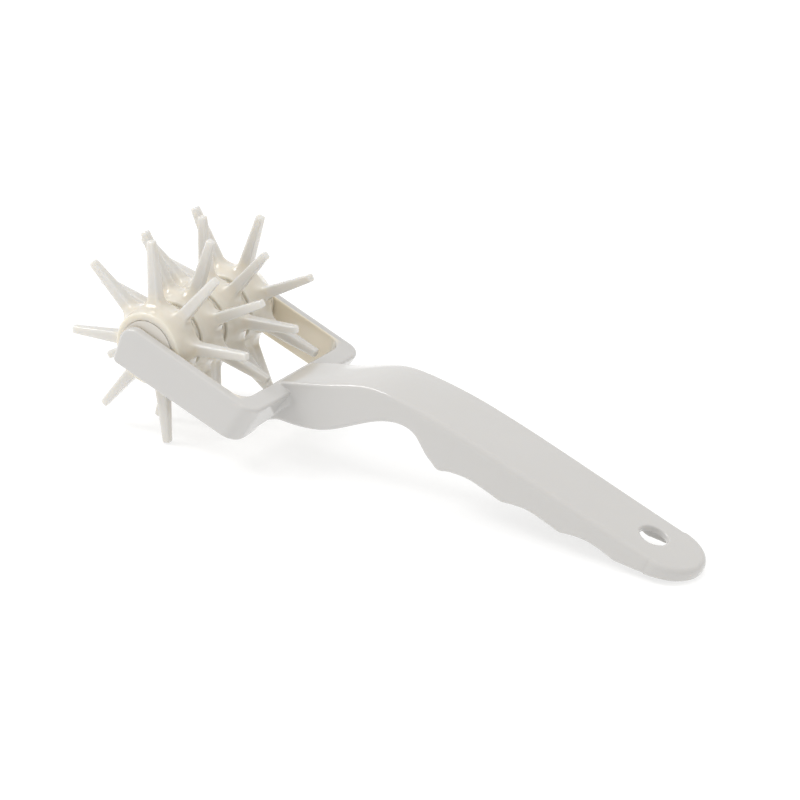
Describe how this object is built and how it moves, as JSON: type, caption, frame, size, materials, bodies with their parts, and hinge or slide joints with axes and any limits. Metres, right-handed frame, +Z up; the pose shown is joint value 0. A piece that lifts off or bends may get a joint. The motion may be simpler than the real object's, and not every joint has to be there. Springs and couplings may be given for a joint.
{
  "type": "dough docker",
  "caption": "Spiked plastic roller in a forked handle with finger rests, for pricking rolled-out dough.",
  "frame": {"origin": "middle of the underside of the bounding box, with the tool lying on its lowest spikes and the tail of its grip", "axes": "+X from the roller to the end of the grip, +Y along the roller's axis towards the back arm, +Z up from the table"},
  "size_m": [0.2076, 0.0602, 0.0637],
  "materials": {
    "handle_plastic": "smooth moulded white plastic",
    "spike_plastic": "smooth moulded ivory plastic",
    "axle_plastic": "natural plastic",
    "washer_plastic": "smooth white plastic"
  },
  "bodies": {
    "handle": {"handle": "handle_plastic"},
    "roller": {"star_wheel_1": "spike_plastic", "star_wheel_2": "spike_plastic", "star_wheel_3": "spike_plastic", "star_wheel_4": "spike_plastic", "roller_axle": "axle_plastic", "end_washer_front": "washer_plastic", "end_washer_back": "washer_plastic"}
  },
  "joints": [
    {"name": "roller_spin", "type": "hinge", "parent": "handle", "child": "roller", "pos_m": [-0.07192, 0, 0.03186], "axis": [0, 1, 0], "continuous": true}
  ]
}
